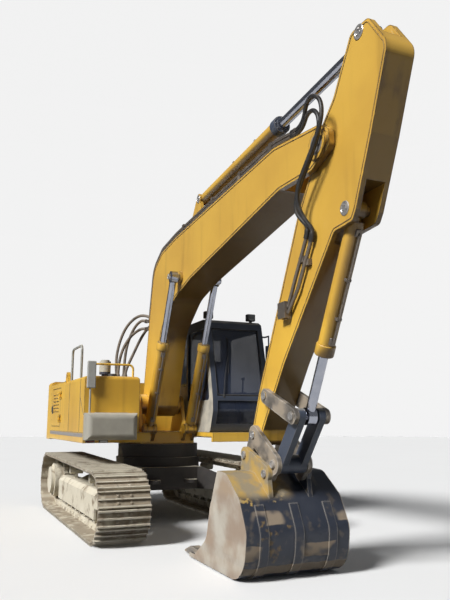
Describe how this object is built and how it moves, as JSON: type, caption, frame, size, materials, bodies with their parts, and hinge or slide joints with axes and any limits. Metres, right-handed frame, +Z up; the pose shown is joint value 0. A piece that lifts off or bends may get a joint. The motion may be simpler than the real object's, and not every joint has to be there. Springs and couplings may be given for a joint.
{
  "type": "tracked excavator",
  "caption": "Tracked hydraulic excavator with a slewing house and cab, a gooseneck boom, a stick and a toothed bucket.",
  "frame": {"origin": "on the ground under the middle of the machine's bounding box at rest", "axes": "+X forward along the boom, +Y to the machine's left, +Z up"},
  "size_m": [9.5705, 3.14, 5.1759],
  "materials": {
    "yellow_paint": "gloss paint, sun-faded and dusty",
    "dark_paint": "satin dark paint",
    "grey_paint": "satin grey paint",
    "frame_steel": "dusty black paint",
    "track_steel": "bare steel under dry dust",
    "worn_steel": "steel polished and scratched by soil",
    "bucket_paint": "dark paint worn to steel",
    "chrome_rod": "polished chrome",
    "machined_steel": "machined steel",
    "window_glass": "tinted",
    "mirror_shell": "matte",
    "lamp_lens": "clear lens in a dark shell",
    "seat_fabric": "woven",
    "cab_plastic": "grained",
    "tube_steel": "grey paint",
    "hose_rubber": "matte"
  },
  "bodies": {
    "undercarriage": {"carbody": "frame_steel", "slew_ring": "machined_steel", "track_frames": "frame_steel", "track_rollers": "track_steel", "drive_sprockets": "track_steel", "front_idlers": "track_steel", "track_shoes_right": "track_steel", "track_shoes_left": "track_steel", "track_chain_right": "track_steel", "track_chain_left": "track_steel"},
    "upperstructure": {"main_frame": "yellow_paint", "counterweight": "yellow_paint", "engine_bay": "yellow_paint", "engine_block": "frame_steel", "right_tank": "yellow_paint", "tool_box": "grey_paint", "handrails": "tube_steel", "mirrors": "mirror_shell", "lamps": "lamp_lens", "precleaner": "dark_paint", "exhaust_stack": "dark_paint", "cab_frame": "dark_paint", "cab_glass": "window_glass", "seat_cushions": "seat_fabric", "seat_base": "cab_plastic", "operator_console": "cab_plastic"},
    "engine_hood": {"engine_hood": "yellow_paint"},
    "side_door_right": {"side_door_right": "yellow_paint"},
    "side_door_left": {"side_door_left": "yellow_paint"},
    "cab_door": {"cab_door": "dark_paint", "cab_door_glass": "window_glass"},
    "boom": {"boom": "yellow_paint", "boom_lines": "tube_steel", "boom_hoses": "hose_rubber"},
    "boom_cylinder_barrels": {"boom_cylinder_barrels": "yellow_paint"},
    "boom_cylinder_rods": {"boom_cylinder_rods": "chrome_rod"},
    "stick": {"stick": "yellow_paint", "stick_lines": "tube_steel", "stick_hoses": "hose_rubber"},
    "stick_cylinder_barrel": {"stick_cylinder_barrel": "yellow_paint"},
    "stick_cylinder_rod": {"stick_cylinder_rod": "chrome_rod"},
    "bucket_cylinder_barrel": {"bucket_cylinder_barrel": "yellow_paint"},
    "bucket_cylinder_rod": {"bucket_cylinder_rod": "chrome_rod"},
    "rocker_arms": {"rocker_arms": "dark_paint"},
    "power_link": {"power_link": "yellow_paint"},
    "bucket": {"quick_coupler": "worn_steel", "bucket": "bucket_paint", "bucket_teeth": "worn_steel"}
  },
  "joints": [
    {"name": "slew", "type": "hinge", "parent": "undercarriage", "child": "upperstructure", "pos_m": [-1.835, 0, 1.215], "axis": [0, 0, 1], "continuous": true},
    {"name": "boom_raise", "type": "hinge", "parent": "upperstructure", "child": "boom", "pos_m": [-1.835, 0, 1.85], "axis": [0, -1, 0], "range_deg": [-78, 38], "deforming": ["boom_hoses"]},
    {"name": "stick_crowd", "type": "hinge", "parent": "boom", "child": "stick", "pos_m": [3.785, 0, 4.22], "axis": [0, 1, 0], "range_deg": [-92, 4], "deforming": ["stick_hoses"]},
    {"name": "bucket_curl", "type": "hinge", "parent": "stick", "child": "bucket", "pos_m": [2.245, 0, 1.42], "axis": [0, 1, 0], "range_deg": [-55, 100]},
    {"name": "boom_cylinder_swing", "type": "hinge", "parent": "upperstructure", "child": "boom_cylinder_barrels", "pos_m": [-1.235, 0, 1.45], "axis": [0, -1, 0], "range_deg": [-90, 45]},
    {"name": "boom_cylinder_stroke", "type": "slide", "parent": "boom_cylinder_barrels", "child": "boom_cylinder_rods", "axis": [0.4311, 0, 0.9023], "range_m": [-0.8, 0.4]},
    {"name": "stick_cylinder_swing", "type": "hinge", "parent": "boom", "child": "stick_cylinder_barrel", "pos_m": [0.245, 0, 4.83], "axis": [0, 1, 0], "range_deg": [-6, 6]},
    {"name": "stick_cylinder_stroke", "type": "slide", "parent": "stick_cylinder_barrel", "child": "stick_cylinder_rod", "axis": [0.9982, 0, 0.06], "range_m": [-1.6, 0.1]},
    {"name": "bucket_cylinder_swing", "type": "hinge", "parent": "stick", "child": "bucket_cylinder_barrel", "pos_m": [4.085, 0, 3.49], "axis": [0, 1, 0], "range_deg": [-10, 10]},
    {"name": "bucket_cylinder_stroke", "type": "slide", "parent": "bucket_cylinder_barrel", "child": "bucket_cylinder_rod", "axis": [-0.4605, 0, -0.8877], "range_m": [-0.45, 0.75]},
    {"name": "rocker_swing", "type": "hinge", "parent": "stick", "child": "rocker_arms", "pos_m": [2.525, 0, 1.84], "axis": [0, 1, 0], "range_deg": [-60, 90]},
    {"name": "power_link_swing", "type": "hinge", "parent": "rocker_arms", "child": "power_link", "pos_m": [3.115, 0, 1.62], "axis": [0, 1, 0], "range_deg": [-70, 50]},
    {"name": "cab_door_swing", "type": "hinge", "parent": "upperstructure", "child": "cab_door", "pos_m": [-2.175, 1.489, 2.31], "axis": [0, 0, 1], "range_deg": [0, 160]},
    {"name": "engine_hood_lift", "type": "hinge", "parent": "upperstructure", "child": "engine_hood", "pos_m": [-2.895, 0, 2.264], "axis": [0, 1, 0], "range_deg": [0, 65]},
    {"name": "side_door_right_swing", "type": "hinge", "parent": "upperstructure", "child": "side_door_right", "pos_m": [-2.835, -1.504, 1.815], "axis": [0, 0, 1], "range_deg": [0, 110]},
    {"name": "side_door_left_swing", "type": "hinge", "parent": "upperstructure", "child": "side_door_left", "pos_m": [-3.735, 1.504, 1.815], "axis": [0, 0, 1], "range_deg": [0, 100]}
  ],
  "couplings": [
    {"joint": "boom_cylinder_swing", "follows": "boom_raise", "ratio": 1.08},
    {"joint": "boom_cylinder_stroke", "follows": "boom_raise", "m_per_rad": 0.56},
    {"joint": "stick_cylinder_swing", "follows": "stick_crowd", "ratio": 0.008},
    {"joint": "stick_cylinder_stroke", "follows": "stick_crowd", "m_per_rad": 0.927},
    {"joint": "bucket_cylinder_swing", "follows": "bucket_curl", "ratio": 0.04},
    {"joint": "bucket_cylinder_stroke", "follows": "bucket_curl", "m_per_rad": 0.415},
    {"joint": "rocker_swing", "follows": "bucket_curl", "ratio": 0.8},
    {"joint": "power_link_swing", "follows": "bucket_curl", "ratio": -0.52}
  ]
}
